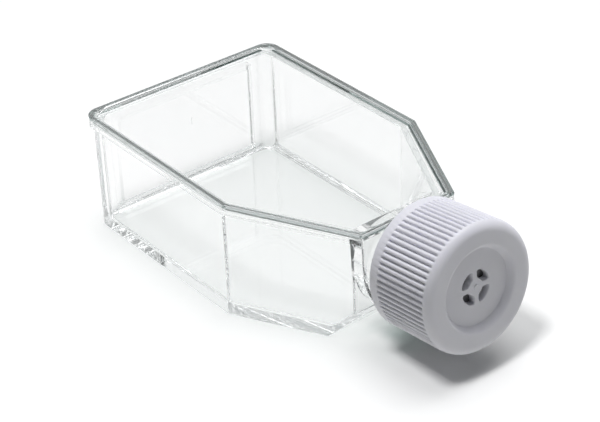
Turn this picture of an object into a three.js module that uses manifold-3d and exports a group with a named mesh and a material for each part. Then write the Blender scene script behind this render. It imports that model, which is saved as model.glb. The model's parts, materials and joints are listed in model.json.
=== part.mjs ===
// Cell culture flask with a canted neck and a vented screw cap, lying on its growth surface.
// Millimetres, +Z up. X runs from the back wall to the cap, Y across the flask.
// The origin is at the middle of the base's underside.

import * as THREE from 'three';
import { mergeVertices } from 'three/addons/utils/BufferGeometryUtils.js';
import Module from 'manifold-3d';

const wasm = await Module();
wasm.setup();

// ---------------------------------------------------------------- driving dimensions

// Tub: the moulded body under the lid, measured outside.
const baseLength = 64.3;           // back wall to the front edge of the flat base
const baseWidth = 45.9;
const sideLength = 45.8;           // back wall to the start of the shoulders
const frontWallWidth = 21.0;
const rampLength = 5.4;            // the front wall stands this far ahead of the flat base
const rampHeight = 5.7;
const wall = 1.35;
const floorThickness = 1.65;
const backCorner = 2.8;            // outside corner radius at the back wall
const insideCorner = 3.8;          // inside corner radius there, of the tub and of the lid's panel
const baseEdge = 0.5;              // rounding of the base's outer edge
const floorFillet = 1.5;           // rounding where the floor meets the walls inside

// Flange and lid, stacked on the tub.
const seamHeight = 25.55;          // underside of the base to the welded seam
const flangeDepth = 1.85;
const flangeOverhang = 0.95;       // past the side walls
const flangeBackOverhang = 0.2;
const flangeFrontOverhang = 3.2;
const flangeShoulderShift = 1.7;   // the flange's shoulder starts this far ahead of the tub's
const flangeFrontWidth = 22.55;
const lipWidth = 0.9;              // outer lip that the lid is welded to
const ledgeDepth = 1.15;           // ledge inside the lip, below the seam
const ridgeHeight = 0.6;           // edge of the lid above the seam
const ridgeTop = 1.05;             // width of the flat top of the lid's raised edge
const ridgeSlope = 0.7;            // width of the slope down to the lid's panel
const panelRecess = 0.85;          // top of the raised edge to the top of the panel
const lidGap = 0.2;                // lid to lip, and lid to ledge

// Writing panel pressed into the back wall.
const panelWidth = 35.4;
const panelBottom = 1.9;
const panelMargin = 0.4;           // top of the writing panel to the flange
const panelBevel = 1.2;
const panelDepth = 0.75;

// Neck, on an axis canted up from the base.
const cant = 6.75;                 // degrees
const neckReach = 12.1;            // front edge of the flat base to the cap's open end, along X
const neckHeight = 17.25;          // height of the axis at the cap's open end
const boreRadius = 7.4;
const beadRise = 0.45;
const beadWidth = 1.0;
const beadSetback = 4.25;          // cap's open end back to the bead
const cheekDrop = 2.05;            // the flat-sided web ends this far under the axis height
const cheekDraft = 0.35;           // the web is narrower at the bottom by this, each side
const barrelInsideCap = 0.9;       // the full neck radius runs this far under the cap

// Thread, right-handed, shared by the neck and the cap.
const threadRoot = 9.75;           // neck radius under the thread
const threadHeight = 0.85;
const threadClearance = 0.4;       // crest of either thread to the other piece's wall
const barrelClearance = 0.45;      // neck's full radius to the cap's bore
const lead = 4.0;
const threadFoot = 1.7;            // width of the ridge at its root
const threadCrest = 0.7;           // width of the ridge at its crest
const threadStart = 2.2;           // first ridge on the neck, from the cap's open end
const neckRunout = 2.55;           // end of the neck's thread to the neck's lip
const capRunout = 0.55;            // end of the cap's thread to the neck's lip

// Cap shell.
const capLength = 16.0;
const capWall = 1.72;              // at the open end, over the ribs
const capFlare = 0.24;             // the cap is wider at its face by this, each side
const capShoulder = 2.0;           // rounding round the face
const capTopThickness = 2.8;
const mouthChamfer = 0.5;
const ribCount = 72;
const ribDepth = 0.45;
const ribStart = 2.2;              // smooth band at the open end
const ribRunout = 1.4;             // the ribs stop this far short of the face
const grooveFloor = 0.36;          // share of the pitch that is flat between two ribs
const grooveMouth = 0.84;          // share of the pitch that is open where two ribs end
const recessRadius = 8.4;
const recessFloor = 7.5;
const recessDepth = 1.4;
const ventInner = 1.75;
const ventOuter = 3.35;
const ventBar = 1.15;
const ventCount = 4;
const ventRounding = 0.35;

// Vent membrane and the ring that holds it.
const membraneRadius = 8.2;
const membraneThickness = 0.25;
const ringThickness = 1.3;
const ringHole = 6.2;
const ringCapGap = 0.4;            // ring to the cap's bore
const seatGap = 0.3;               // cap, membrane, ring and neck lip, one on the next

const roundSteps = 72;             // flats round the neck and the cap
const threadSteps = 48;            // flats round one turn of the thread
const cornerSteps = 8;             // flats round a back corner
const filletSteps = 4;             // flats round an edge

// ---------------------------------------------------------------- shared geometry

const radians = THREE.MathUtils.degToRad;

// A closed three.js geometry as a manifold solid.
function solid(geometry) {
  const bare = geometry.clone();
  bare.deleteAttribute('normal');
  bare.deleteAttribute('uv');
  const merged = mergeVertices(bare, 1e-5);
  return new wasm.Manifold(new wasm.Mesh({
    numProp: 3,
    vertProperties: new Float32Array(merged.attributes.position.array),
    triVerts: new Uint32Array(merged.index.array),
  }));
}

function geometryOf(manifold) {
  const mesh = manifold.getMesh();
  const geometry = new THREE.BufferGeometry();
  geometry.setAttribute('position', new THREE.BufferAttribute(mesh.vertProperties, 3));
  geometry.setIndex(new THREE.BufferAttribute(mesh.triVerts, 1));
  return geometry;
}

function named(name, manifold, colour, roughness, opacity = 1) {
  const material = new THREE.MeshStandardMaterial({
    color: colour,
    roughness,
    metalness: 0,
    transparent: opacity < 1,
    opacity,
  });
  const mesh = new THREE.Mesh(geometryOf(manifold), material);
  mesh.name = name;
  return mesh;
}

// A closed body through rings of points: each ring is convex, and all have as many points,
// counter-clockwise seen from the last ring's side.
function loft(rings) {
  const count = rings[0].length;
  const last = (rings.length - 1) * count;
  const index = [];
  for (let ring = 0; ring + 1 < rings.length; ring += 1) {
    for (let i = 0; i < count; i += 1) {
      const a = ring * count + i;
      const b = ring * count + (i + 1) % count;
      index.push(a, b, b + count, a, b + count, a + count);
    }
  }
  for (let i = 1; i + 1 < count; i += 1) {
    index.push(0, i + 1, i);
    index.push(last, last + i, last + i + 1);
  }
  const geometry = new THREE.BufferGeometry();
  geometry.setAttribute('position', new THREE.Float32BufferAttribute(
    rings.flat().flatMap((point) => point.toArray()), 3));
  geometry.setIndex(index);
  return geometry;
}

// Six-sided plan, counter-clockwise from the back right corner, drawn in by an inset.
// The two back corners are rounded in a fixed number of steps.
function plan(outline, inset = 0) {
  const { back, front, shoulder, halfWidth, frontHalf, corner } = outline;
  const corners = [
    new THREE.Vector2(back, -halfWidth),
    new THREE.Vector2(shoulder, -halfWidth),
    new THREE.Vector2(front, -frontHalf),
    new THREE.Vector2(front, frontHalf),
    new THREE.Vector2(shoulder, halfWidth),
    new THREE.Vector2(back, halfWidth),
  ];
  const drawnIn = corners.map((point, i) => {
    const before = point.clone().sub(corners[(i + 5) % 6]).normalize();
    const after = corners[(i + 1) % 6].clone().sub(point).normalize();
    const inward = new THREE.Vector2(-before.y - after.y, before.x + after.x);
    const scale = inset / (1 + before.dot(after));
    return point.clone().addScaledVector(inward, scale);
  });
  const radius = Math.max(corner - inset, 0.3);
  const rounded = (centreX, centreY, startAngle) => Array.from({ length: cornerSteps + 1 }, (_, i) => {
    const angle = startAngle + i * Math.PI / 2 / cornerSteps;
    return new THREE.Vector2(centreX + radius * Math.cos(angle), centreY + radius * Math.sin(angle));
  });
  const [backRight, shoulderRight, frontRight, frontLeft, shoulderLeft, backLeft] = drawnIn;
  return [
    ...rounded(backRight.x + radius, backRight.y + radius, Math.PI),
    shoulderRight,
    frontRight,
    frontLeft,
    shoulderLeft,
    ...rounded(backLeft.x + radius, backLeft.y - radius, Math.PI / 2),
  ];
}

// Stack of insets of one plan: levels are pairs of height and inset, from the bottom up.
function stack(outline, levels) {
  return solid(loft(levels.map(([height, inset]) => (
    plan(outline, inset).map((point) => new THREE.Vector3(point.x, point.y, height))))));
}

// Quarter-round levels: an inset that shrinks from the radius to nothing as the height rises.
function roundedStart(bottom, radius) {
  return Array.from({ length: filletSteps + 1 }, (_, i) => {
    const angle = i * Math.PI / 2 / filletSteps;
    return [bottom + radius * (1 - Math.cos(angle)), radius * (1 - Math.sin(angle))];
  });
}

// Round body on the +Z axis from pairs of radius and height.
function turned(profile) {
  const points = profile.map(([radius, height]) => new THREE.Vector2(radius, height));
  return solid(new THREE.LatheGeometry(points, roundSteps).rotateX(Math.PI / 2));
}

function rod(radius, from, to) {
  return turned([[0, from], [radius, from], [radius, to], [0, to]]);
}

// Box across the whole flask, between two X and two Z values.
function slab(fromX, toX, bottom, top) {
  const box = new THREE.BoxGeometry(toX - fromX, baseWidth * 2, top - bottom);
  return solid(box.translate((fromX + toX) / 2, 0, (bottom + top) / 2));
}

// Helical ridge round +Z. Its foot is sunk into the wall that carries it, and it fades at both ends.
function helix(rootRadius, crestRadius, start, end) {
  const count = Math.round((end - start) / lead * threadSteps);
  const fade = threadSteps / 8;
  const leastRise = 0.15;
  const outward = crestRadius > rootRadius;
  const foot = rootRadius + (rootRadius - crestRadius) * leastRise * 2;
  const rings = Array.from({ length: count + 1 }, (_, i) => {
    const angle = i / threadSteps * 2 * Math.PI;
    const middle = start + lead * i / threadSteps;
    const rise = Math.min(1, leastRise + Math.min(i, count - i) / fade);
    const crest = rootRadius + rise * (crestRadius - rootRadius);
    const section = [
      [foot, middle - threadFoot / 2],
      [crest, middle - threadCrest / 2],
      [crest, middle + threadCrest / 2],
      [foot, middle + threadFoot / 2],
    ];
    return (outward ? section.reverse() : section).map(([radius, height]) => (
      new THREE.Vector3(radius * Math.cos(angle), radius * Math.sin(angle), height)));
  });
  return solid(loft(rings));
}

// ---------------------------------------------------------------- outlines and the neck's axis

const backX = -baseLength / 2;
const baseFrontX = baseLength / 2;
const ledgeHeight = seamHeight - ledgeDepth;
const flangeBottom = seamHeight - flangeDepth;

const tubOutline = {
  back: backX,
  front: baseFrontX + rampLength,
  shoulder: backX + sideLength,
  halfWidth: baseWidth / 2,
  frontHalf: frontWallWidth / 2,
  corner: backCorner,
};
const rimOutline = {
  back: tubOutline.back - flangeBackOverhang,
  front: tubOutline.front + flangeFrontOverhang,
  shoulder: tubOutline.shoulder + flangeShoulderShift,
  halfWidth: tubOutline.halfWidth + flangeOverhang,
  frontHalf: flangeFrontWidth / 2,
  corner: backCorner + flangeBackOverhang,
};

const mouthX = baseFrontX + neckReach;
const capBore = threadRoot + threadHeight + threadClearance;
const capMouthRadius = capBore + capWall;
const capFaceRadius = capMouthRadius + capFlare;
const neckRadius = capBore - barrelClearance;
const beadRadius = neckRadius + beadRise;

// Heights on the neck's axis, from the cap's open end: the vent's pieces are stacked under the cap's
// top, and the neck's lip comes up to the ring.
const capUnderside = capLength - capTopThickness;
const membraneTop = capUnderside - seatGap;
const membraneBottom = membraneTop - membraneThickness;
const ringTop = membraneBottom - seatGap;
const ringBottom = ringTop - ringThickness;
const neckLip = ringBottom - seatGap;

// Local +Z of a piece turned on the neck's axis runs out of the flask; local 0 is the cap's open end.
const neckFrame = new THREE.Group();
neckFrame.position.set(mouthX, 0, neckHeight);
neckFrame.rotation.set(0, Math.PI / 2 - radians(cant), 0);
neckFrame.updateMatrixWorld(true);
const neckMatrix = neckFrame.matrixWorld.toArray();

// ---------------------------------------------------------------- flask body

// Everything under the ramp's plane, shifted inward by a distance square to the plane.
function rampWedge(inward) {
  const slope = new THREE.Vector2(rampLength, rampHeight).normalize();
  const foot = new THREE.Vector2(baseFrontX - inward * slope.y, inward * slope.x);
  const reach = baseLength;
  const shape = new THREE.Shape([
    foot.clone().addScaledVector(slope, -reach),
    foot.clone().addScaledVector(slope, -reach).add(new THREE.Vector2(reach * 2, 0)),
    foot.clone().addScaledVector(slope, reach).add(new THREE.Vector2(reach, 0)),
    foot.clone().addScaledVector(slope, reach),
  ]);
  const wedge = new THREE.ExtrudeGeometry(shape, { depth: baseWidth * 2, bevelEnabled: false });
  wedge.translate(0, 0, -baseWidth);
  wedge.rotateX(Math.PI / 2);
  return solid(wedge);
}

// Bevelled slab on the back wall: its large face is at the wall's face.
function labelSlab(faceX) {
  const rectangle = (x, draw) => [
    new THREE.Vector3(x, -panelWidth / 2 + draw, panelBottom + draw),
    new THREE.Vector3(x, panelWidth / 2 - draw, panelBottom + draw),
    new THREE.Vector3(x, panelWidth / 2 - draw, flangeBottom - panelMargin - draw),
    new THREE.Vector3(x, -panelWidth / 2 + draw, flangeBottom - panelMargin - draw),
  ];
  const outside = faceX - wall / 2;
  const slope = panelBevel / panelDepth;
  return solid(loft([
    rectangle(outside, -slope * wall / 2),
    rectangle(faceX + panelDepth, panelBevel),
  ]));
}

// Flat-sided web that fills the space between the flange and the neck's widest points.
function cheekWeb() {
  const half = rimOutline.frontHalf;
  const rectangle = (height, halfWidth) => [
    new THREE.Vector3(tubOutline.front - wall, -halfWidth, height),
    new THREE.Vector3(rimOutline.front, -halfWidth, height),
    new THREE.Vector3(rimOutline.front, halfWidth, height),
    new THREE.Vector3(tubOutline.front - wall, halfWidth, height),
  ];
  return solid(loft([
    rectangle(neckHeight - cheekDrop, half - cheekDraft),
    rectangle(flangeBottom + flangeDepth / 2, half),
  ]));
}

// The neck starts inside the flask and is trimmed to the front wall.
const neckBack = -(mouthX - tubOutline.front + wall + neckRadius);

function neckOutside() {
  const beadBack = -beadSetback;
  const beadFront = beadBack + beadWidth;
  const barrel = turned([
    [0, neckBack],
    [neckRadius, neckBack],
    [neckRadius, beadBack - (beadRadius - neckRadius)],
    [beadRadius, beadBack],
    [neckRadius, beadFront],
    [neckRadius, barrelInsideCap],
    [threadRoot, barrelInsideCap + (neckRadius - threadRoot)],
    [threadRoot, neckLip - mouthChamfer],
    [threadRoot - mouthChamfer, neckLip],
    [0, neckLip],
  ]);
  const thread = helix(threadRoot, threadRoot + threadHeight, threadStart, neckLip - neckRunout);
  return barrel.add(thread).transform(neckMatrix);
}

function flaskBody() {
  const tub = stack(tubOutline, [...roundedStart(0, baseEdge), [flangeBottom + flangeDepth / 2, 0]]);
  const flange = stack(rimOutline, [[flangeBottom, 0], [seamHeight, 0]]);
  // The neck is kept only ahead of the front wall's inner face, and clear of the lid above the seam.
  const farBack = backX - baseLength;
  const tall = seamHeight * 3;
  const neck = neckOutside()
    .subtract(slab(farBack, tubOutline.front - wall, -tall, tall))
    .subtract(slab(farBack, rimOutline.front + lidGap, seamHeight - lidGap, tall));
  const outside = tub.subtract(rampWedge(0)).add(flange).add(cheekWeb()).add(neck)
    .subtract(labelSlab(tubOutline.back));
  const inside = stack({ ...tubOutline, corner: wall + insideCorner }, [
    ...roundedStart(floorThickness, floorFillet).map(([height, inset]) => [height, inset + wall]),
    [seamHeight + wall, wall],
  ]).subtract(rampWedge(wall)).subtract(labelSlab(tubOutline.back + wall));
  const rebate = stack(rimOutline, [[ledgeHeight, lipWidth], [seamHeight + wall, lipWidth]]);
  const bore = rod(boreRadius, neckBack, neckLip + wall).transform(neckMatrix)
    .subtract(slab(farBack, tubOutline.front - wall * 1.5, -tall, tall));
  return outside.subtract(inside).subtract(rebate).subtract(bore);
}

// ---------------------------------------------------------------- lid

function topPanel() {
  const rimTop = seamHeight + ridgeHeight;
  const panelTopHeight = rimTop - panelRecess;
  const edge = stack(rimOutline, [[seamHeight, 0], [rimTop, 0]]);
  const plateInset = lipWidth + lidGap;
  const plate = stack(rimOutline, [
    [ledgeHeight + lidGap, plateInset],
    [seamHeight + ridgeHeight / 2, plateInset],
  ]);
  const recess = stack({ ...rimOutline, corner: ridgeTop + ridgeSlope + insideCorner }, [
    [panelTopHeight, ridgeTop + ridgeSlope],
    [rimTop, ridgeTop],
    [rimTop + ridgeHeight, ridgeTop - ridgeSlope * ridgeHeight / panelRecess],
  ]);
  return edge.add(plate).subtract(recess);
}

// ---------------------------------------------------------------- cap

// Everything outside a scalloped outline, between the smooth band and the rounded face.
function ribGrooves() {
  const ring = new THREE.Shape();
  ring.absarc(0, 0, capFaceRadius + ribDepth * 2, 0, 2 * Math.PI);
  const valley = (capMouthRadius + capFaceRadius) / 2 - ribDepth;
  const crest = capFaceRadius + ribDepth;
  const pitch = 2 * Math.PI / ribCount;
  const points = Array.from({ length: ribCount }, (_, i) => [
    [valley, (i - grooveFloor / 2) * pitch],
    [valley, (i + grooveFloor / 2) * pitch],
    [crest, (i + grooveMouth / 2) * pitch],
    [crest, (i + 1 - grooveMouth / 2) * pitch],
  ]).flat().map(([radius, angle]) => new THREE.Vector2(radius * Math.cos(angle), radius * Math.sin(angle)));
  ring.holes.push(new THREE.Path(points));
  const geometry = new THREE.ExtrudeGeometry(ring, {
    depth: capLength - ribRunout - ribStart,
    bevelEnabled: false,
    curveSegments: 24,
  });
  return solid(geometry.translate(0, 0, ribStart));
}

// One rounded slot between two bars, for one quarter of the vent.
function ventShape() {
  const inner = ventInner + ventRounding;
  const outer = ventOuter - ventRounding;
  const bar = ventBar / 2 + ventRounding;
  const innerStart = Math.asin(bar / inner);
  const outerStart = Math.asin(bar / outer);
  const sector = 2 * Math.PI / ventCount;
  const shape = new THREE.Shape();
  shape.absarc(0, 0, outer + ventRounding, outerStart, sector - outerStart, false);
  shape.absarc(outer * Math.cos(sector - outerStart), outer * Math.sin(sector - outerStart),
    ventRounding, sector - outerStart, sector + Math.PI / 2, false);
  shape.absarc(inner * Math.cos(sector - innerStart), inner * Math.sin(sector - innerStart),
    ventRounding, sector + Math.PI / 2, sector - innerStart + Math.PI, false);
  shape.absarc(0, 0, inner - ventRounding, sector - innerStart, innerStart, true);
  shape.absarc(inner * Math.cos(innerStart), inner * Math.sin(innerStart),
    ventRounding, innerStart + Math.PI, 1.5 * Math.PI, false);
  shape.absarc(outer * Math.cos(outerStart), outer * Math.sin(outerStart),
    ventRounding, 1.5 * Math.PI, 2 * Math.PI + outerStart, false);
  return shape;
}

function capShell() {
  const shoulder = Array.from({ length: filletSteps + 1 }, (_, i) => {
    const angle = i * Math.PI / 2 / filletSteps;
    return [
      capFaceRadius - capShoulder * (1 - Math.cos(angle)),
      capLength - capShoulder * (1 - Math.sin(angle)),
    ];
  });
  const outside = turned([[0, 0], [capMouthRadius, 0], ...shoulder, [0, capLength]])
    .subtract(ribGrooves());
  const hollow = turned([
    [0, -mouthChamfer],
    [capBore + mouthChamfer * 2, -mouthChamfer],
    [capBore, mouthChamfer],
    [capBore, capUnderside],
    [0, capUnderside],
  ]);
  const face = turned([
    [0, capLength - recessDepth],
    [recessFloor, capLength - recessDepth],
    [recessRadius, capLength],
    [recessRadius, capLength + recessDepth],
    [0, capLength + recessDepth],
  ]);
  const thread = helix(capBore, capBore - threadHeight, threadStart + lead / 2, neckLip - capRunout);
  let shell = outside.subtract(hollow).add(thread).subtract(face);
  const vent = new THREE.ExtrudeGeometry(ventShape(), {
    depth: capTopThickness * 2,
    bevelEnabled: false,
    curveSegments: 5,
  }).translate(0, 0, capUnderside - capTopThickness / 2);
  for (let i = 0; i < ventCount; i += 1) {
    shell = shell.subtract(solid(vent.clone().rotateZ(2 * Math.PI * i / ventCount)));
  }
  return shell;
}

// ---------------------------------------------------------------- vent membrane and its ring

function ventMembrane() {
  return rod(membraneRadius, membraneBottom, membraneTop);
}

function membraneRing() {
  const outer = capBore - ringCapGap;
  return rod(outer, ringBottom, ringTop).subtract(rod(ringHole, ringBottom - seatGap, ringTop + seatGap));
}

// ---------------------------------------------------------------- the flask

const flask = new THREE.Group();
flask.add(named('flask_body', flaskBody(), 0xe9f0ef, 0.05, 0.35));
flask.add(named('top_panel', topPanel(), 0xdfe9e7, 0.05, 0.35));

neckFrame.add(named('cap_shell', capShell(), 0xd2d4e4, 0.45));
neckFrame.add(named('vent_membrane', ventMembrane(), 0xf4f4f2, 0.8));
neckFrame.add(named('membrane_ring', membraneRing(), 0xe6e6ec, 0.5));
flask.add(neckFrame);

export default flask;
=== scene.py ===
"""Cell culture flask with a canted neck and a vented screw cap, lying on its growth surface.

Metres, in the part's own frame: X from the back wall to the cap, Y across, Z up from the base.
"""

import json
import math

import bpy
import numpy as np
from mathutils import Matrix, Vector


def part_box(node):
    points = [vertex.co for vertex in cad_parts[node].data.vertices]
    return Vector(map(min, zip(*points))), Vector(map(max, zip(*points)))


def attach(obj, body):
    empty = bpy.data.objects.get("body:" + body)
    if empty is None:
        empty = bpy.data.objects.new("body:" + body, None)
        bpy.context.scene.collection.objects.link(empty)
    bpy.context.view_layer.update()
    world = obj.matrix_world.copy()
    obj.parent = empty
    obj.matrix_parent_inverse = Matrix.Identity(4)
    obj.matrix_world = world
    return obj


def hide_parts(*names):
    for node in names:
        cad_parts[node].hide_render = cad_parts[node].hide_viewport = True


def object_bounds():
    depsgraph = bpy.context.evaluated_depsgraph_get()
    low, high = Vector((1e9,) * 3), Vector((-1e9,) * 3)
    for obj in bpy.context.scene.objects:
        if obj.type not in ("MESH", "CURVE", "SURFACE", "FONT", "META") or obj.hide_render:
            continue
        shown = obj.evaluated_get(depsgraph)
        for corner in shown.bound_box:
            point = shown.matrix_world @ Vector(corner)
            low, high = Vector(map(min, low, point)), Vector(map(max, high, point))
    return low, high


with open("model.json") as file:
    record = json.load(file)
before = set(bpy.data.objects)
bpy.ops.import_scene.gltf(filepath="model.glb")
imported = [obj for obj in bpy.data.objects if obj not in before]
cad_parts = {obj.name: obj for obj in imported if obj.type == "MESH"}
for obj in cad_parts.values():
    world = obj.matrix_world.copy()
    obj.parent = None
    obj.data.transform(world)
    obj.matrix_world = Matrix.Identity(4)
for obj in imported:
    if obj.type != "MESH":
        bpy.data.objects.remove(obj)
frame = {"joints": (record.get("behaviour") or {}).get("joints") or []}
cad_low, cad_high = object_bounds()

# ---------------------------------------------------------------- tub and flange
# The flask's body is one injection moulding of clear polystyrene: a flat floor, upright walls that narrow
# towards the neck, a short ramp under the front wall, and a flange round the top. The flange's outer lip
# stands round a ledge, and the lid is welded to that lip.

mm = 0.001

lid_low, lid_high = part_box("top_panel")

wall = 1.35 * mm
floor_thickness = 1.65 * mm
floor_fillet = 1.5 * mm
floor_reach = 8 * mm
inside_floor_reach = 6 * mm
base_edge = 0.3 * mm
ramp_length = 5.4 * mm
ramp_height = 5.7 * mm
ramp_blend = 0.3 * mm
ramp_rows = 9
edge_radius = 0.35 * mm
back_radius = 2.8 * mm
inside_radius = 3.8 * mm
least_radius = 0.25 * mm
fine_edge = 0.06 * mm

rim_top = lid_high[2]
ridge_height = 0.6 * mm
seam = rim_top - ridge_height
shoulder_from_back = 47.7 * mm
rim_front_half = 11.275 * mm
flange_depth = 1.85 * mm
flange_bottom = seam - flange_depth
flange_overhang = 0.95 * mm
flange_back_overhang = 0.2 * mm
flange_front_overhang = 3.2 * mm
flange_shoulder_overhang = 1.7 * mm
flange_front_widening = 0.775 * mm
flange_edge = 0.1 * mm
under_flange_out = 0.12 * mm
under_flange_in = 0.13 * mm
lip_width = 0.9 * mm
ledge = seam - 1.15 * mm
ledge_fillet = 0.15 * mm
ledge_from_lip = 0.3 * mm
ledge_from_wall = 0.25 * mm

rim = {
    "back": lid_low[0],
    "front": lid_high[0],
    "shoulder": lid_low[0] + shoulder_from_back,
    "half_width": lid_high[1],
    "front_half": rim_front_half,
}
tub = {
    "back": rim["back"] + flange_back_overhang,
    "front": rim["front"] - flange_front_overhang,
    "shoulder": rim["shoulder"] - flange_shoulder_overhang,
    "half_width": rim["half_width"] - flange_overhang,
    "front_half": rim["front_half"] - flange_front_widening,
}


def rounded(points, radii, steps, closed=False):
    """Path through points (..., n, 2) whose corners are arcs of the given radii. Along an arc that turns
    by t, the path is start + radius (sin t before + (1 - cos t) inward), where before is the direction
    of the side that comes in and inward is square to it, on the side of the turn."""
    if closed:
        corner = points
        before = corner - np.roll(corner, 1, axis=-2)
        after = np.roll(corner, -1, axis=-2) - corner
    else:
        corner = points[..., 1:-1, :]
        before = corner - points[..., :-2, :]
        after = points[..., 2:, :] - corner
    before = before / np.linalg.norm(before, axis=-1, keepdims=True)
    after = after / np.linalg.norm(after, axis=-1, keepdims=True)
    sine = before[..., 0] * after[..., 1] - before[..., 1] * after[..., 0]
    turn = np.arctan2(sine, (before * after).sum(-1))
    inward = np.stack([-before[..., 1], before[..., 0]], -1) * np.sign(turn)[..., None]
    size = np.abs(turn)
    radius = np.broadcast_to(radii, size.shape)
    start = corner - before * (radius * np.tan(size / 2))[..., None]
    angle = size[..., None] * np.linspace(0, 1, steps + 1)
    arcs = start[..., None, :] + radius[..., None, None] * (
        np.sin(angle)[..., None] * before[..., None, :]
        + (1 - np.cos(angle))[..., None] * inward[..., None, :]
    )
    path = arcs.reshape(*arcs.shape[:-3], -1, 2)
    if closed:
        return path
    return np.concatenate([points[..., :1, :], path, points[..., -1:, :]], -2)


def plan(outline, inset, corner_radius, front=None, steps=16):
    """Rings of a six-sided plan, counter-clockwise from the back right corner, one for each inset.

    Each side moves inward by the inset: a corner moves along the sum of its two sides' inward normals,
    divided by 1 + their dot product. Where a front is given, the plan is cut there, square to X."""
    inset = np.atleast_1d(inset)
    front = np.broadcast_to(outline["front"] if front is None else front, inset.shape)
    run = outline["front"] - outline["shoulder"]
    narrowing = (outline["front_half"] - outline["half_width"]) / run
    front_half = outline["half_width"] + narrowing * (front - outline["shoulder"])
    even = np.ones_like(inset)
    back, shoulder, half = (even * outline[name] for name in ("back", "shoulder", "half_width"))
    corners = np.stack([
        np.stack([back, shoulder, front, front, shoulder, back], -1),
        np.stack([-half, -half, -front_half, front_half, half, half], -1),
    ], -1)
    before = corners - np.roll(corners, 1, axis=-2)
    before /= np.linalg.norm(before, axis=-1, keepdims=True)
    after = np.roll(before, -1, axis=-2)
    normals = np.stack([-before[..., 1] - after[..., 1], before[..., 0] + after[..., 0]], -1)
    share = inset[:, None] / (1 + (before * after).sum(-1))
    back_radii = np.maximum(corner_radius - inset, least_radius)
    front_radii = np.maximum(edge_radius - inset, least_radius)
    radii = np.stack([back_radii] + [front_radii] * 4 + [back_radii], -1)
    return rounded(corners + share[..., None] * normals, radii, steps, closed=True)


def ramp_level(depth):
    """Height at which the ramp meets the front wall, for a surface that lies depth inside the outer one.
    Both lines move in by the depth, so their corner rises by depth (sqrt(1 + s s) - 1) / s, where s is
    the ramp's length over its height."""
    lean = math.hypot(1, ramp_length / ramp_height) - 1
    return ramp_height + depth * lean * ramp_height / ramp_length


def ramp_front(height, depth):
    """X of the front wall at each height, for a surface that lies depth inside the outer one: straight up
    above the ramp, back along the ramp below it, with a parabola between the two."""
    below = ramp_level(depth) - height
    bent = (np.clip(below, -ramp_blend, ramp_blend) + ramp_blend) ** 2 / (4 * ramp_blend)
    drop = np.where(below > ramp_blend, below, bent)
    return tub["front"] - ramp_length / ramp_height * drop


def ring_grid(rings, heights):
    """Rings (rows, columns, 2), each lifted to its height."""
    lift = np.broadcast_to(np.asarray(heights)[:, None, None], (*rings.shape[:2], 1))
    return np.concatenate([rings, lift], -1)


def mesh_object(name, grid, loop=False):
    """Closed mesh through a grid of points (rows, columns, 3). The columns wrap round. The rows end in
    a face at each end, or also wrap round. Faces are turned if the signed volume, the sum of
    a . (b x c) / 6 over the triangles, is negative."""
    rows, columns = grid.shape[:2]
    index = np.arange(rows * columns).reshape(rows, columns)
    lower = index if loop else index[:-1]
    upper = np.roll(index, -1, axis=0) if loop else index[1:]
    quads = np.stack([lower, np.roll(lower, -1, 1), np.roll(upper, -1, 1), upper], -1).reshape(-1, 4)
    caps = [] if loop else [index[0, ::-1], index[-1]]
    points = grid.reshape(-1, 3)
    a, b, c, d = (points[quads[:, i]] for i in range(4))
    volume = (a * np.cross(b, c)).sum() + (a * np.cross(c, d)).sum()
    for ring in caps:
        p = points[ring]
        volume += (p[0] * np.cross(p[1:-1], p[2:])).sum()
    faces = quads.tolist() + [ring.tolist() for ring in caps]
    if volume < 0:
        faces = [face[::-1] for face in faces]
    mesh = bpy.data.meshes.new(name)
    mesh.from_pydata(points.tolist(), [], faces)
    mesh.update()
    made = bpy.data.objects.new(name, mesh)
    bpy.context.scene.collection.objects.link(made)
    return made


def combine(target, operation, *tools):
    """Adds the tools to the target, or cuts them out of it, and removes them."""
    for tool in tools:
        step = target.modifiers.new(tool.name, "BOOLEAN")
        step.operation = operation
        step.solver = "MANIFOLD"
        step.object = tool
    graph = bpy.context.evaluated_depsgraph_get()
    shape = bpy.data.meshes.new_from_object(target.evaluated_get(graph))
    target.modifiers.clear()
    target.data = shape
    for tool in tools:
        bpy.data.objects.remove(tool)


def with_ramp_rows(path, depth):
    """The path with extra rows on its upright run, where the ramp turns into the front wall."""
    heights = ramp_level(depth) + np.linspace(-1, 1, ramp_rows) * ramp_blend
    upright = int(np.argmax(np.abs(np.diff(path[:, 1]))))
    if path[upright, 1] > path[upright + 1, 1]:
        heights = heights[::-1]
    rows = np.stack([np.full(ramp_rows, depth), heights], -1)
    return np.insert(path, upright + 1, rows, axis=0)


# Each path is drawn as how far in from the outline, and how high.
outside_path = with_ramp_rows(rounded(np.array([
    [floor_reach, 0],
    [0, 0],
    [0, flange_bottom],
    [-under_flange_out, flange_bottom],
]), [base_edge, fine_edge], steps=6), 0.0)
rim_path = rounded(np.array([
    [under_flange_in, flange_bottom],
    [0, flange_bottom],
    [0, seam],
    [lip_width, seam],
    [lip_width, ledge],
    [lip_width + ledge_from_lip, ledge],
]), [flange_edge, fine_edge, fine_edge, ledge_fillet], steps=5)
inside_path = with_ramp_rows(rounded(np.array([
    [wall - ledge_from_wall, ledge],
    [wall, ledge],
    [wall, floor_thickness],
    [wall + inside_floor_reach, floor_thickness],
]), [ledge_fillet, floor_fillet], steps=12), wall)
body_grid = np.concatenate([
    ring_grid(plan(tub, outside_path[:, 0], back_radius, ramp_front(outside_path[:, 1], 0.0)),
              outside_path[:, 1]),
    ring_grid(plan(rim, rim_path[:, 0], back_radius + flange_back_overhang), rim_path[:, 1]),
    ring_grid(plan(tub, inside_path[:, 0], wall + inside_radius, ramp_front(inside_path[:, 1], wall)),
              inside_path[:, 1]),
])
body = mesh_object("flask_body_moulding", body_grid)

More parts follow.
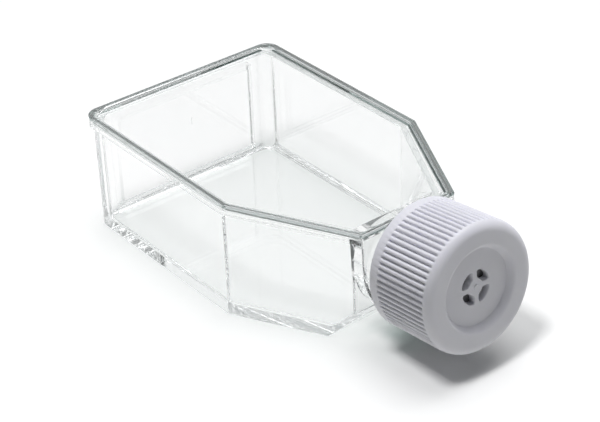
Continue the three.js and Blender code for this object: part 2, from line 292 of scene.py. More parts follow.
# ---------------------------------------------------------------- writing panel and moulding marks
# The back wall has a shallow panel to write on, pressed in from outside, so that it stands proud inside.
# A row of plain ticks is raised on the right wall, low down, and a gate mark is left on the back wall.

panel_width = 35.4 * mm
panel_bottom = 1.9 * mm
panel_top = flange_bottom - 0.4 * mm
panel_bevel = 1.2 * mm
panel_depth = 0.75 * mm
panel_arc = 0.12 * mm
panel_flat = 2 * mm
panel_corner = 1.0 * mm
panel_least_corner = 0.4 * mm
panel_root = 0.6 * mm
panel_clearance = 2 * mm


def pressed_panel(name, face, reach):
    """Slab whose edge is a rounded bevel: from reach outside the face to the panel's depth inside it, the
    rounded rectangle of the panel is drawn in along a path with a bevel between two small arcs."""
    bevel = rounded(np.array([
        [-reach, 0.0],
        [0.0, 0.0],
        [panel_depth, panel_bevel],
        [panel_depth, panel_bevel + panel_flat],
    ]), panel_arc, steps=5)
    middle = (panel_bottom + panel_top) / 2
    half = np.array([panel_width / 2, (panel_top - panel_bottom) / 2])
    signs = np.array([[-1, -1], [1, -1], [1, 1], [-1, 1]])
    sides = signs * (half - bevel[:, 1][:, None, None])
    corner = np.maximum(panel_corner - bevel[:, 1], panel_least_corner)
    ring = rounded(sides, corner[:, None], steps=8, closed=True)
    depth = np.broadcast_to(face + bevel[:, 0][:, None], ring.shape[:2])
    return mesh_object(name, np.stack([depth, ring[..., 0], ring[..., 1] + middle], -1))


def soft_block(name, low, high, edge):
    """Box between two corners whose upright edges are arcs."""
    ring = rounded(np.array([
        [low[0], low[1]],
        [high[0], low[1]],
        [high[0], high[1]],
        [low[0], high[1]],
    ]), edge, steps=4, closed=True)
    return mesh_object(name, ring_grid(np.stack([ring, ring]), [low[2], high[2]]))


combine(body, "UNION", pressed_panel("panel_inside", tub["back"] + wall, panel_root))
combine(body, "DIFFERENCE", pressed_panel("panel_outside", tub["back"], panel_clearance))

tick_count = 12
long_tick_every = 5
tick_start = tub["back"] + 2.4 * mm
tick_pitch = 2.0 * mm
tick_width = 0.3 * mm
tick_rise = 0.18 * mm
tick_bottom = 0.45 * mm
tick_top = 1.25 * mm
long_tick_top = 1.7 * mm
wall_gate_side = 0.85 * mm
wall_gate_far_side = 1.15 * mm
wall_gate_bottom = 14.7 * mm
wall_gate_top = 16.2 * mm
wall_gate_rise = 0.12 * mm
wall_gate_edge = 0.05 * mm

marks = [soft_block(
    f"tick_{i + 1}",
    (tick_start + i * tick_pitch, -tub["half_width"] - tick_rise, tick_bottom),
    (tick_start + i * tick_pitch + tick_width, -tub["half_width"] + tick_rise,
     long_tick_top if i % long_tick_every == 0 else tick_top),
    fine_edge,
) for i in range(tick_count)]
panel_face = tub["back"] + wall + panel_depth
marks.append(soft_block(
    "wall_gate",
    (panel_face - tick_rise, wall_gate_side, wall_gate_bottom),
    (panel_face + wall_gate_rise, wall_gate_far_side, wall_gate_top),
    wall_gate_edge,
))
combine(body, "UNION", *marks)

# ---------------------------------------------------------------- neck
# The neck is moulded with the body, on an axis canted up from the base. It carries a bead, and a
# right-handed thread under the cap. A flat-sided web joins its widest points to the flange.

turn_joint = next(joint for joint in frame["joints"] if joint["name"] == "cap_turn")
mouth = np.array(turn_joint["pos_m"])
axis = np.array(turn_joint["axis"])
axis /= np.linalg.norm(axis)
sideways = np.array([0.0, 1.0, 0.0])
downward = np.cross(sideways, axis)

pole = 0.05 * mm
neck_radius = 10.55 * mm
neck_back = -19.0 * mm
neck_step = 0.9 * mm
neck_lip = 10.75 * mm
neck_fillets = np.array([0.1, 0.2, 0.2, 0.2, 0.2, 0.3, 0.2, 0.4]) * mm
neck_columns = 192
bead_radius = 11.0 * mm
bead_back = -4.25 * mm
bead_front = -3.25 * mm
bead_slope = 0.45 * mm
thread_root = 9.75 * mm
thread_height = 0.85 * mm
thread_foot = 1.7 * mm
thread_crest = 0.7 * mm
thread_fade = 0.125
thread_start = 2.2 * mm
thread_end = neck_lip - 2.55 * mm
lead = 4.0 * mm
neck_rows = (2.0 * mm, 10.2 * mm)
row_spacing = 0.12 * mm
bore_radius = 7.4 * mm
bore_flare = 2 * mm
bore_fillets = np.array([0.2, 0.6, 0.2]) * mm
bore_columns = 160
web_bottom = mouth[2] - 2.05 * mm
web_bottom_half = 10.925 * mm
web_edge = 0.4 * mm
web_overlap = 0.3 * mm
web_root = tub["front"] - 0.5 * wall
neck_root = tub["front"] - 0.6 * wall
bore_root = tub["front"] - 1.4 * wall
rim_overlap = 0.2 * mm
slab_reach = 0.2
slab_half = 0.1
slab_edge = 1 * mm
same_radius = 0.0001 * mm


def thread_rise(angle, height, start, end):
    """Share of a helical ridge's height at each angle and place on the axis, from 0 to 1. The ridge's
    middle climbs by the lead each turn, its flanks fall off over the foot's width outside the crest's,
    and it fades in and out over an eighth of a turn."""
    turns = (end - start) / lead
    rise = np.zeros(np.broadcast(angle, height).shape)
    for turn in range(math.ceil(turns) + 1):
        along = angle / (2 * math.pi) + turn
        middle = start + lead * along
        flank = (thread_foot / 2 - np.abs(height - middle)) / ((thread_foot - thread_crest) / 2)
        fade = np.minimum(along, turns - along) / thread_fade
        share = np.clip(flank, 0, 1) * np.clip(fade, 0, 1)
        rise = np.maximum(rise, share * share * (3 - 2 * share))
    return rise


def on_axis(radius, angle, height):
    """Points of a turned surface on the neck's axis, where height is measured from the cap's mouth."""
    radius, angle, height = np.broadcast_arrays(radius, angle, height)
    return (
        mouth
        + (radius * np.cos(angle))[..., None] * downward
        + (radius * np.sin(angle))[..., None] * sideways
        + height[..., None] * axis
    )


def with_rows(path, start, end):
    """The path with evenly spaced rows along the straight run that holds heights start to end."""
    steps = int((end - start) / row_spacing)
    heights = np.linspace(start, end, steps + 1)
    upright = np.abs(np.diff(path[:, 0])) < same_radius
    held = (path[:-1, 1] <= start) & (path[1:, 1] >= end) & upright
    run = int(np.argmax(held))
    rows = np.stack([np.full(steps + 1, path[run, 0]), heights], -1)
    return np.insert(path, run + 1, rows, axis=0)


def turned(name, path, columns, thread=None):
    """Closed turned body on the neck's axis from a path of radius and height. The path starts and ends
    on a small circle round the axis. A thread changes the radius by its height times its rise."""
    angle = np.arange(columns) * 2 * math.pi / columns
    radius, height = path[:, 0, None], path[:, 1, None]
    if thread:
        root, rise, start, end = thread
        at_root = np.isclose(radius, root, atol=10 * same_radius)
        radius = radius + at_root * rise * thread_rise(angle, height, start, end)
    return mesh_object(name, on_axis(radius, angle, height))


def slab(name, low_x, high_x, low_z, high_z):
    """Box across the whole flask, used only as a tool."""
    return soft_block(name, (low_x, -slab_half, low_z), (high_x, slab_half, high_z), slab_edge)


neck_path = with_rows(rounded(np.array([
    [pole, neck_back],
    [neck_radius, neck_back],
    [neck_radius, bead_back - (bead_radius - neck_radius)],
    [bead_radius, bead_back],
    [bead_radius, bead_front - bead_slope],
    [neck_radius, bead_front],
    [neck_radius, neck_step],
    [thread_root, neck_step + neck_radius - thread_root],
    [thread_root, neck_lip],
    [pole, neck_lip],
]), neck_fillets, steps=5), *neck_rows)
neck = turned("neck", neck_path, neck_columns, (thread_root, thread_height, thread_start, thread_end))
combine(
    neck,
    "DIFFERENCE",
    slab("behind_the_wall", -slab_reach, neck_root, -slab_reach, slab_reach),
    slab("over_the_seam", -slab_reach, rim["front"] + rim_overlap, seam - rim_overlap, slab_reach),
    slab("over_the_ledge", -slab_reach, rim["front"] - lip_width, ledge, slab_reach),
)
web_rings = np.stack([
    rounded(np.array([
        [web_root, -half],
        [rim["front"], -half],
        [rim["front"], half],
        [web_root, half],
    ]), web_edge, steps=6, closed=True)
    for half in (web_bottom_half, rim["front_half"])
])
web = mesh_object("web", ring_grid(web_rings, [web_bottom, flange_bottom + web_overlap]))
combine(body, "UNION", web, neck)

bore_path = rounded(np.array([
    [pole, neck_back],
    [bore_radius, neck_back],
    [bore_radius, neck_lip],
    [bore_radius + bore_flare, neck_lip + bore_flare],
    [pole, neck_lip + bore_flare],
]), bore_fillets, steps=6)
bore = turned("bore", bore_path, bore_columns)
combine(bore, "DIFFERENCE", slab("inside_the_tub", -slab_reach, bore_root, -slab_reach, slab_reach))
combine(body, "DIFFERENCE", bore)


def soften(piece, angle=30.0):
    """Smooth shading, with an edge left crisp where its faces meet at more than the angle."""
    piece.data.polygons.foreach_set("use_smooth", np.ones(len(piece.data.polygons), bool))
    piece.data.set_sharp_from_angle(angle=math.radians(angle))
    weighting = piece.modifiers.new("weighted_normals", "WEIGHTED_NORMAL")
    weighting.keep_sharp = True


def new_material(name):
    """(material, nodes, links, Principled node) with the Principled node on the output."""
    material = bpy.data.materials.new(name)
    material.use_nodes = True
    nodes, links = material.node_tree.nodes, material.node_tree.links
    return material, nodes, links, nodes["Principled BSDF"]


def feed(links, source, socket):
    """Links the source to the socket, or sets the socket where the source is a plain value."""
    if isinstance(source, bpy.types.NodeSocket):
        links.new(source, socket)
    else:
        socket.default_value = source


def calculate(nodes, links, operation, *sources):
    """Result of one sum on sockets and numbers."""
    node = nodes.new("ShaderNodeMath")
    node.operation = operation
    for source, socket in zip(sources, node.inputs):
        feed(links, source, socket)
    return node.outputs[0]


def smooth_step(nodes, links, value, start, end, before=0.0, after=1.0):
    """Number that goes smoothly from before to after as the value goes from start to end."""
    node = nodes.new("ShaderNodeMapRange")
    node.interpolation_type = "SMOOTHSTEP"
    sources = {"Value": value, "From Min": start, "From Max": end, "To Min": before, "To Max": after}
    for name, source in sources.items():
        feed(links, source, node.inputs[name])
    return node.outputs["Result"]


def mix_colours(nodes, links, factor, first, second):
    """Colour that goes from the first to the second as the factor goes from 0 to 1."""
    node = nodes.new("ShaderNodeMix")
    node.data_type = "RGBA"
    for name, source in {"Factor": factor, "A": first, "B": second}.items():
        feed(links, source, node.inputs[name])
    return node.outputs["Result"]


def mix_shaders(nodes, links, factor, first, second):
    """Shader that goes from the first to the second as the factor goes from 0 to 1."""
    node = nodes.new("ShaderNodeMixShader")
    for source, socket in zip((factor, first, second), node.inputs):
        links.new(source, socket)
    return node.outputs[0]


def vary_roughness(nodes, links, shader, mask, smooth, rough):
    """Roughness that goes from smooth to rough as the mask goes from 0 to 1."""
    gloss = nodes.new("ShaderNodeMapRange")
    gloss.inputs["To Min"].default_value = smooth
    gloss.inputs["To Max"].default_value = rough
    links.new(mask, gloss.inputs["Value"])
    links.new(gloss.outputs["Result"], shader.inputs["Roughness"])


def raise_surface(nodes, links, shader, height, strength, distance):
    """Normal bumped by a height, where 1 stands for the distance."""
    bump = nodes.new("ShaderNodeBump")
    bump.inputs["Strength"].default_value = strength
    bump.inputs["Distance"].default_value = distance
    links.new(height, bump.inputs["Height"])
    links.new(bump.outputs["Normal"], shader.inputs["Normal"])


wave_stretch = (0.35, 1.0, 1.0)
scratch_turn = (0.4, 0.7, 0.5)
scratch_stretch = (0.06, 1.0, 1.0)
scratch_scale = 1400.0
scratch_least = 0.69
scratch_most = 0.74


def mould_flow_group():
    """Group for moulded plastic: slow waves along X where the melt ran, a fine grain, and small scratches.
    Its inputs are the sizes and depths, and it puts out a height and masks of scratches and waves."""
    group = bpy.data.node_groups.new("mould_flow", "ShaderNodeTree")
    usual = {"Wave Scale": 60.0, "Grain Scale": 900.0, "Grain": 0.1, "Scratches": 0.3}
    for socket, value in usual.items():
        made = group.interface.new_socket(socket, in_out="INPUT", socket_type="NodeSocketFloat")
        made.default_value = value
    for socket in ("Height", "Scratch Mask", "Wave Mask"):
        group.interface.new_socket(socket, in_out="OUTPUT", socket_type="NodeSocketFloat")
    nodes, links = group.nodes, group.links
    inputs, outputs = nodes.new("NodeGroupInput"), nodes.new("NodeGroupOutput")
    place = nodes.new("ShaderNodeTexCoord")
    stretch = nodes.new("ShaderNodeMapping")
    stretch.inputs["Scale"].default_value = wave_stretch
    links.new(place.outputs["Object"], stretch.inputs["Vector"])
    waves = nodes.new("ShaderNodeTexNoise")
    waves.inputs["Detail"].default_value = 2.0
    links.new(stretch.outputs[0], waves.inputs["Vector"])
    links.new(inputs.outputs["Wave Scale"], waves.inputs["Scale"])
    grain = nodes.new("ShaderNodeTexNoise")
    grain.inputs["Detail"].default_value = 4.0
    links.new(place.outputs["Object"], grain.inputs["Vector"])
    links.new(inputs.outputs["Grain Scale"], grain.inputs["Scale"])
    turn = nodes.new("ShaderNodeMapping")
    turn.inputs["Rotation"].default_value = scratch_turn
    turn.inputs["Scale"].default_value = scratch_stretch
    links.new(place.outputs["Object"], turn.inputs["Vector"])
    lines = nodes.new("ShaderNodeTexNoise")
    lines.inputs["Scale"].default_value = scratch_scale
    lines.inputs["Detail"].default_value = 1.0
    links.new(turn.outputs[0], lines.inputs["Vector"])
    fine = nodes.new("ShaderNodeMapRange")
    fine.inputs["From Min"].default_value = scratch_least
    fine.inputs["From Max"].default_value = scratch_most
    links.new(lines.outputs["Fac"], fine.inputs["Value"])
    worn = calculate(nodes, links, "MULTIPLY", fine.outputs["Result"], inputs.outputs["Scratches"])
    rough = calculate(
        nodes, links, "MULTIPLY_ADD", grain.outputs["Fac"], inputs.outputs["Grain"], waves.outputs["Fac"])
    links.new(calculate(nodes, links, "SUBTRACT", rough, worn), outputs.inputs["Height"])
    links.new(worn, outputs.inputs["Scratch Mask"])
    links.new(waves.outputs["Fac"], outputs.inputs["Wave Mask"])
    return group


mould_flow = mould_flow_group()


def add_mould_flow(nodes, settings):
    """The mould flow group in a material, with its own settings by name."""
    flow = nodes.new("ShaderNodeGroup")
    flow.node_tree = mould_flow
    for name, value in settings.items():
        flow.inputs[name].default_value = value
    return flow


body_tint = (0.75, 0.80, 0.79, 1)
body_density = 2.0
body_waves = 55.0
body_weld_waves = 90.0
weld_tint = (0.955, 0.985, 0.98, 1)
polystyrene_colour = (0.97, 0.97, 0.97, 1)
thin_wall_light = (0.975, 0.98, 0.978, 1)
thick_wall_light = (0.48, 0.54, 0.525, 1)
grazing_start = 0.55
neck_shade = 0.9
neck_shade_start = tub["front"] - 1 * mm
neck_shade_end = tub["front"] + 2 * mm
seam_band = 0.1 * mm
level_face = 0.7


def clear_polystyrene(name, tint, density, wave_scale, colour=polystyrene_colour):
    """Clear plastic that bends light, with faint flow waves and scratches, and a trace of green where it
    is thick. Lamp light and light from matt surfaces pass straight through it, but the neck, and faces
    that the light only grazes, dim it. The colour tints what crosses the surface, as the weld does."""
    material, nodes, links, shader = new_material(name)
    shader.inputs["Base Color"].default_value = colour
    shader.inputs["Transmission Weight"].default_value = 1.0
    shader.inputs["IOR"].default_value = 1.59
    flow = add_mould_flow(nodes, {"Wave Scale": wave_scale, "Grain": 0.0, "Scratches": 0.15})
    raise_surface(nodes, links, shader, flow.outputs["Height"], strength=0.25, distance=0.02 * mm)
    vary_roughness(nodes, links, shader, flow.outputs["Scratch Mask"], smooth=0.0, rough=0.04)
    grazing = nodes.new("ShaderNodeLayerWeight")
    lost = smooth_step(nodes, links, grazing.outputs["Facing"], grazing_start, end=1.0)
    place = nodes.new("ShaderNodeTexCoord")
    along = nodes.new("ShaderNodeSeparateXYZ")
    links.new(place.outputs["Object"], along.inputs[0])
    in_neck = smooth_step(
        nodes, links, along.outputs["X"], neck_shade_start, neck_shade_end, after=neck_shade)
    dimmed = calculate(nodes, links, "MAXIMUM", lost, in_neck)
    passed = mix_colours(nodes, links, dimmed, thin_wall_light, thick_wall_light)
    open_way = nodes.new("ShaderNodeBsdfTransparent")
    links.new(passed, open_way.inputs["Color"])
    way = open_way.outputs[0]
    path = nodes.new("ShaderNodeLightPath")
    for_lamps = mix_shaders(nodes, links, path.outputs["Is Shadow Ray"], shader.outputs[0], way)
    for_matt = mix_shaders(nodes, links, path.outputs["Is Diffuse Ray"], for_lamps, way)
    links.new(for_matt, nodes["Material Output"].inputs["Surface"])
    depth = nodes.new("ShaderNodeVolumeAbsorption")
    depth.inputs["Color"].default_value = tint
    depth.inputs["Density"].default_value = density
    links.new(depth.outputs[0], nodes["Material Output"].inputs["Volume"])
    return material


def weld_faces(piece):
    """Gives the level faces at the height of the seam the piece's second material."""
    count = len(piece.data.polygons)
    centres, normals = np.empty(count * 3), np.empty(count * 3)
    piece.data.polygons.foreach_get("center", centres)
    piece.data.polygons.foreach_get("normal", normals)
    welded = (np.abs(centres[2::3] - seam) < seam_band) & (np.abs(normals[2::3]) > level_face)
    piece.data.polygons.foreach_set("material_index", welded.astype(int))


body_plastic = clear_polystyrene("body_polystyrene", body_tint, body_density, body_waves)
body_weld = clear_polystyrene("body_weld", body_tint, body_density, body_weld_waves, weld_tint)
body.data.materials.clear()
body.data.materials.append(body_plastic)
body.data.materials.append(body_weld)
weld_faces(body)
soften(body)
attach(body, "flask")
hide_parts("flask_body")

# ---------------------------------------------------------------- lid
# The lid is a second moulding of the same plastic: a thin panel that drops inside the flange's lip, with
# a raised edge that other flasks stack on. It is welded to the lip, which leaves a fine seam.

weld_gap = 0.04 * mm
plate_inset = lip_width + 0.2 * mm
plate_bottom = ledge + 0.2 * mm
ridge_top = 1.05 * mm
ridge_slope = 0.7 * mm
panel_recess = 0.85 * mm
lid_fillets = np.array([0.2, 0.1, 0.06, 0.15, 0.2, 0.35]) * mm
lid_tint = (0.68, 0.73, 0.72, 1)
lid_density = 50.0
lid_waves = 45.0
lid_weld_waves = 80.0

lid_path = rounded(np.array([
    [floor_reach, plate_bottom],
    [plate_inset, plate_bottom],
    [plate_inset, seam + weld_gap],
    [0, seam + weld_gap],
    [0, rim_top],
    [ridge_top, rim_top],
    [ridge_top + ridge_slope, rim_top - panel_recess],
    [floor_reach, rim_top - panel_recess],
]), lid_fillets, steps=6)
in_recess = (lid_path[:, 1] > seam + ridge_height / 2) & (lid_path[:, 0] > ridge_top / 2)
lid_corner = np.where(in_recess, ridge_top + ridge_slope + inside_radius, back_radius + flange_back_overhang)
lid = mesh_object("lid_moulding", ring_grid(plan(rim, lid_path[:, 0], lid_corner), lid_path[:, 1]))
lid_plastic = clear_polystyrene("lid_polystyrene", lid_tint, lid_density, lid_waves)
lid_weld = clear_polystyrene("lid_weld", lid_tint, lid_density, lid_weld_waves, weld_tint)
lid.data.materials.append(lid_plastic)
lid.data.materials.append(lid_weld)
weld_faces(lid)
soften(lid)
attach(lid, "flask")
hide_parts("top_panel")

# ---------------------------------------------------------------- cap
# The screw cap is moulded in white polyethylene with a faint lavender cast. Fine upright ribs give grip,
# a smooth band runs round the open end, and the face is dished, with four vents round its middle.

cap_length = 16.0 * mm
cap_mouth_radius = 12.72 * mm
cap_face_radius = 12.96 * mm
cap_shoulder = 2.0 * mm
cap_steps = 10
rib_count = 72
rib_half = 0.4
rib_depth = 0.45 * mm
rib_start = 2.2 * mm
rib_end = cap_length - 1.4 * mm
rib_fade = 0.5 * mm
fade_rows = 8
columns_per_rib = 10
recess_radius = 8.4 * mm
recess_floor_radius = 7.5 * mm
recess_floor = cap_length - 1.4 * mm
floor_row_radii = np.array([6.2, 4.0, 1.3]) * mm
gate_radius = 0.45 * mm
gate_slope = 0.1 * mm
gate_rise = 0.12 * mm
cap_fillets = [0.3 * mm, cap_shoulder, 0.7 * mm, 0.12 * mm, 0.05 * mm, 0.05 * mm]

cap_path = rounded(np.array([
    [pole, 0],
    [cap_mouth_radius, 0],
    [cap_face_radius, cap_length],
    [recess_radius, cap_length],
    [recess_floor_radius, recess_floor],
    [gate_radius + gate_slope, recess_floor],
    [gate_radius, recess_floor + gate_rise],
    [pole, recess_floor + gate_rise],
]), cap_fillets, cap_steps)
# The recess's floor comes after the path's first point and four of its arcs.
floor_at = 1 + 4 * (cap_steps + 1)
floor_rows = np.stack([floor_row_radii, np.full(len(floor_row_radii), recess_floor)], -1)
cap_path = np.insert(cap_path, floor_at, floor_rows, axis=0)
flare = int(np.argmax(np.diff(cap_path[:, 1])))
rib_heights = np.concatenate([
    rib_start + np.linspace(0, 1, fade_rows) * rib_fade,
    rib_end - np.linspace(1, 0, fade_rows) * rib_fade,
])
rib_rows = np.stack([
    np.interp(rib_heights, [0, cap_length], [cap_mouth_radius, cap_face_radius]),
    rib_heights,
], -1)
low_rows = rib_rows[rib_rows[:, 1] < cap_path[flare + 1, 1]]
cap_path = np.insert(cap_path, flare + 1, low_rows, axis=0)


def rib_drop(angle, height):
    """How far the surface lies under the ribs' crests: each rib is half an ellipse on a flat valley, and
    the valleys fade in and out at the ends of the ribs."""
    across = np.mod(angle * rib_count / (2 * math.pi), 1) - 0.5
    crest = np.sqrt(np.clip(1 - (across / rib_half) ** 2, 0, 1))
    into = np.clip((height - rib_start) / rib_fade, 0, 1)
    out_of = np.clip((rib_end - height) / rib_fade, 0, 1)
    ends = np.minimum(into, out_of)
    return rib_depth * (1 - crest) * np.sqrt(ends * (2 - ends))


face_edge = recess_radius + 1 * mm
cap_angle = np.arange(rib_count * columns_per_rib) * 2 * math.pi / (rib_count * columns_per_rib)
cap_radius, cap_height = cap_path[:, 0, None], cap_path[:, 1, None]
ribbed = (cap_radius > face_edge) * rib_drop(cap_angle, cap_height)
cap = mesh_object("cap_moulding", on_axis(cap_radius - ribbed, cap_angle, cap_height))

cap_bore = 11.0 * mm
cap_underside = cap_length - 2.8 * mm
mouth_chamfer = 1.0 * mm
cap_thread_start = thread_start + lead / 2
cap_thread_end = neck_lip - 0.55 * mm
hollow_rows = (3.2 * mm, 11.2 * mm)
hollow_fillets = np.array([0.1, 0.2, 0.3]) * mm

hollow_path = with_rows(rounded(np.array([
    [pole, -mouth_chamfer / 2],
    [cap_bore + mouth_chamfer, -mouth_chamfer / 2],
    [cap_bore, mouth_chamfer / 2],
    [cap_bore, cap_underside],
    [pole, cap_underside],
]), hollow_fillets, steps=5), *hollow_rows)
cap_thread = (cap_bore, -thread_height, cap_thread_start, cap_thread_end)
hollow = turned("hollow", hollow_path, neck_columns, cap_thread)

vent_count = 4
vent_inner = 1.75 * mm
vent_outer = 3.35 * mm
vent_bar = 1.15 * mm
vent_squareness = 4.5
vent_columns = 64
vent_heights = np.array([
    cap_underside - 1 * mm,
    recess_floor - 0.25 * mm,
    recess_floor - 0.1 * mm,
    recess_floor,
    recess_floor + 1 * mm,
])
vent_widening = np.array([0, 0, 0.04, 0.14, 0.14]) * mm


def vent_slot(name, quarter):
    """Kidney-shaped slot in one quarter of the face. Its outline is a superellipse bent round the axis
    between two bars, and it widens by a little at the face."""
    around = np.arange(vent_columns) * 2 * math.pi / vent_columns
    power = 2 / vent_squareness
    across = np.sign(np.cos(around)) * np.abs(np.cos(around)) ** power
    outward = np.sign(np.sin(around)) * np.abs(np.sin(around)) ** power
    wider = vent_widening[:, None]
    middle, half = (vent_outer + vent_inner) / 2, (vent_outer - vent_inner) / 2
    radius = middle + outward * (half + wider)
    reach = math.pi / vent_count - np.arcsin((vent_bar / 2 - wider) / radius)
    angle = across * reach + (quarter + 0.5) * 2 * math.pi / vent_count
    return mesh_object(name, on_axis(radius, angle, vent_heights[:, None]))


combine(cap, "DIFFERENCE", hollow, *[vent_slot(f"vent_{i + 1}", i) for i in range(vent_count)])


def colour_ramp(nodes, links, value, stops):
    """Colour that follows a value from 0 to 1 through two or more stops of (value, colour)."""
    ramp = nodes.new("ShaderNodeValToRGB")
    elements = ramp.color_ramp.elements
    for element, (position, colour) in zip(elements, (stops[0], stops[-1])):
        element.position = position
        element.color = colour
    for position, colour in stops[1:-1]:
        elements.new(position).color = colour
    links.new(value, ramp.inputs["Fac"])
    return ramp.outputs["Color"]


cap_colours = (
    (0.3, (0.735, 0.73, 0.785, 1)),
    (0.7, (0.77, 0.765, 0.815, 1)),
)


def cap_polyethylene():
    """Satin polyethylene: light sinks in a little, the colour drifts slightly where the melt ran, and a
    fine grain and a few scratches break up the gloss."""
    material, nodes, links, shader = new_material("cap_polyethylene")
    shader.inputs["IOR"].default_value = 1.54
    shader.inputs["Specular IOR Level"].default_value = 0.25
    shader.inputs["Subsurface Weight"].default_value = 0.15
    shader.inputs["Subsurface Radius"].default_value = (1.0, 1.0, 1.2)
    shader.inputs["Subsurface Scale"].default_value = 0.6 * mm
    flow = add_mould_flow(
        nodes, {"Wave Scale": 150.0, "Grain Scale": 3500.0, "Grain": 0.6, "Scratches": 0.6})
    waves = flow.outputs["Wave Mask"]
    links.new(colour_ramp(nodes, links, waves, cap_colours), shader.inputs["Base Color"])
    vary_roughness(nodes, links, shader, waves, smooth=0.38, rough=0.55)
    raise_surface(nodes, links, shader, flow.outputs["Height"], strength=0.3, distance=0.02 * mm)
    return material


cap.data.materials.clear()
cap.data.materials.append(cap_polyethylene())
soften(cap, angle=40.0)
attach(cap, "cap")
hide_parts("cap_shell")

# ---------------------------------------------------------------- vent membrane and its ring
# A disc of porous film lies under the vents and lets gas through. Its mid grey is painted shade, darker than
# the film itself, so that the vents look dark from outside. A polyethylene ring clipped into the cap holds
# it, and seals on the neck's lip.

membrane_radius = 8.2 * mm
membrane_bottom = 12.65 * mm
membrane_top = 12.9 * mm
membrane_edge = 0.08 * mm
ring_outer = 10.6 * mm
ring_hole = 6.2 * mm
ring_bottom = 11.05 * mm
ring_top = 12.35 * mm
ring_edge = 0.2 * mm
ring_columns = 128
# The film's colours are painted shade: darker than the film itself, standing in for the shade inside the
# vents.
film_painted_shade_colours = (
    (0.0, (0.25, 0.25, 0.26, 1)),
    (1.0, (0.35, 0.35, 0.35, 1)),
)
ring_colours = (
    (0.0, (0.72, 0.72, 0.77, 1)),
    (1.0, (0.80, 0.80, 0.84, 1)),
)

membrane_path = rounded(np.array([
    [pole, membrane_bottom],
    [membrane_radius, membrane_bottom],
    [membrane_radius, membrane_top],
    [pole, membrane_top],
]), membrane_edge, steps=4)
membrane = turned("membrane_film", membrane_path, ring_columns)

ring_section = rounded(np.array([
    [ring_hole, ring_bottom],
    [ring_outer, ring_bottom],
    [ring_outer, ring_top],
    [ring_hole, ring_top],
]), ring_edge, steps=5, closed=True)
ring_angle = np.arange(ring_columns) * 2 * math.pi / ring_columns
ring = mesh_object(
    "seal_ring",
    on_axis(ring_section[:, 0, None], ring_angle, ring_section[:, 1, None]),
    loop=True,
)


def porous_film_painted_shade():
    """Matt film of tangled fibres: the bump and the colour's variation come from cells and noise at a
    fibre's scale. Its mid grey is painted shade.
    """
    material, nodes, links, shader = new_material("porous_film_painted_shade")
    shader.inputs["IOR"].default_value = 1.35
    place = nodes.new("ShaderNodeTexCoord")
    cells = nodes.new("ShaderNodeTexVoronoi")
    cells.feature = "DISTANCE_TO_EDGE"
    cells.inputs["Scale"].default_value = 5000.0
    links.new(place.outputs["Object"], cells.inputs["Vector"])
    cloud = nodes.new("ShaderNodeTexNoise")
    cloud.inputs["Scale"].default_value = 700.0
    cloud.inputs["Detail"].default_value = 5.0
    links.new(place.outputs["Object"], cloud.inputs["Vector"])
    tangle = cloud.outputs["Fac"]
    links.new(colour_ramp(nodes, links, tangle, film_painted_shade_colours), shader.inputs["Base Color"])
    vary_roughness(nodes, links, shader, tangle, smooth=0.7, rough=0.95)
    raise_surface(nodes, links, shader, cells.outputs["Distance"], strength=0.5, distance=0.03 * mm)
    return material


def ring_polyethylene():
    """Softer polyethylene, slightly waxy, with the same flow and grain as the cap."""
    material, nodes, links, shader = new_material("ring_polyethylene")
    shader.inputs["IOR"].default_value = 1.52
    shader.inputs["Subsurface Weight"].default_value = 0.2
    shader.inputs["Subsurface Scale"].default_value = 0.8 * mm
    flow = add_mould_flow(nodes, {"Wave Scale": 220.0, "Grain Scale": 3000.0, "Grain": 0.4})
    waves = flow.outputs["Wave Mask"]
    links.new(colour_ramp(nodes, links, waves, ring_colours), shader.inputs["Base Color"])
    vary_roughness(nodes, links, shader, waves, smooth=0.35, rough=0.5)
    raise_surface(nodes, links, shader, flow.outputs["Height"], strength=0.3, distance=0.02 * mm)
    return material


membrane.data.materials.append(porous_film_painted_shade())
soften(membrane)
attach(membrane, "cap_insert")
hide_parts("vent_membrane")

ring.data.materials.append(ring_polyethylene())
soften(ring)
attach(ring, "cap_insert")
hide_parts("membrane_ring")

# ---------------------------------------------------------------- table
# The flask lies on a wide white table. It shows as white to the camera, in the plastic's gloss and through
# the plastic, and it keeps the flask's shadow. Far off, it glows up to plain white for the camera.

table_half = 3.0
table_bottom = -0.02
table_gap = 0.03 * mm
table_colour = (0.74, 0.74, 0.72, 1)
table_shown = (1.02, 1.02, 1.02, 1)
table_lift = 0.03
glow_start = 0.2
glow_full = 0.6

table_ring = np.array([[-1, -1], [1, -1], [1, 1], [-1, 1]]) * table_half
table = mesh_object("table", ring_grid(np.stack([table_ring] * 2), [table_bottom, -table_gap]))


def white_table():
    """Matt white that other matt surfaces see a little greyer than the camera and the plastic do, with a
    glow for the camera that grows smoothly with the distance from the flask."""
    material, nodes, links, shader = new_material("table_white")
    shader.inputs["Roughness"].default_value = 1.0
    shader.inputs["Specular IOR Level"].default_value = 0.0
    shader.inputs["Emission Color"].default_value = (1, 1, 1, 1)
    path = nodes.new("ShaderNodeLightPath")
    camera_ray = path.outputs["Is Camera Ray"]
    seen = calculate(nodes, links, "MAXIMUM", camera_ray, path.outputs["Is Transmission Ray"])
    shown = calculate(nodes, links, "MAXIMUM", seen, path.outputs["Is Glossy Ray"])
    links.new(mix_colours(nodes, links, shown, table_colour, table_shown), shader.inputs["Base Color"])
    lift = calculate(nodes, links, "MULTIPLY", shown, table_lift)
    spot = nodes.new("ShaderNodeTexCoord")
    distance = nodes.new("ShaderNodeVectorMath")
    distance.operation = "LENGTH"
    links.new(spot.outputs["Object"], distance.inputs[0])
    far_off = smooth_step(nodes, links, distance.outputs["Value"], glow_start, glow_full)
    glow = calculate(nodes, links, "MULTIPLY_ADD", far_off, camera_ray, lift)
    links.new(glow, shader.inputs["Emission Strength"])
    return material


table.data.materials.append(white_table())

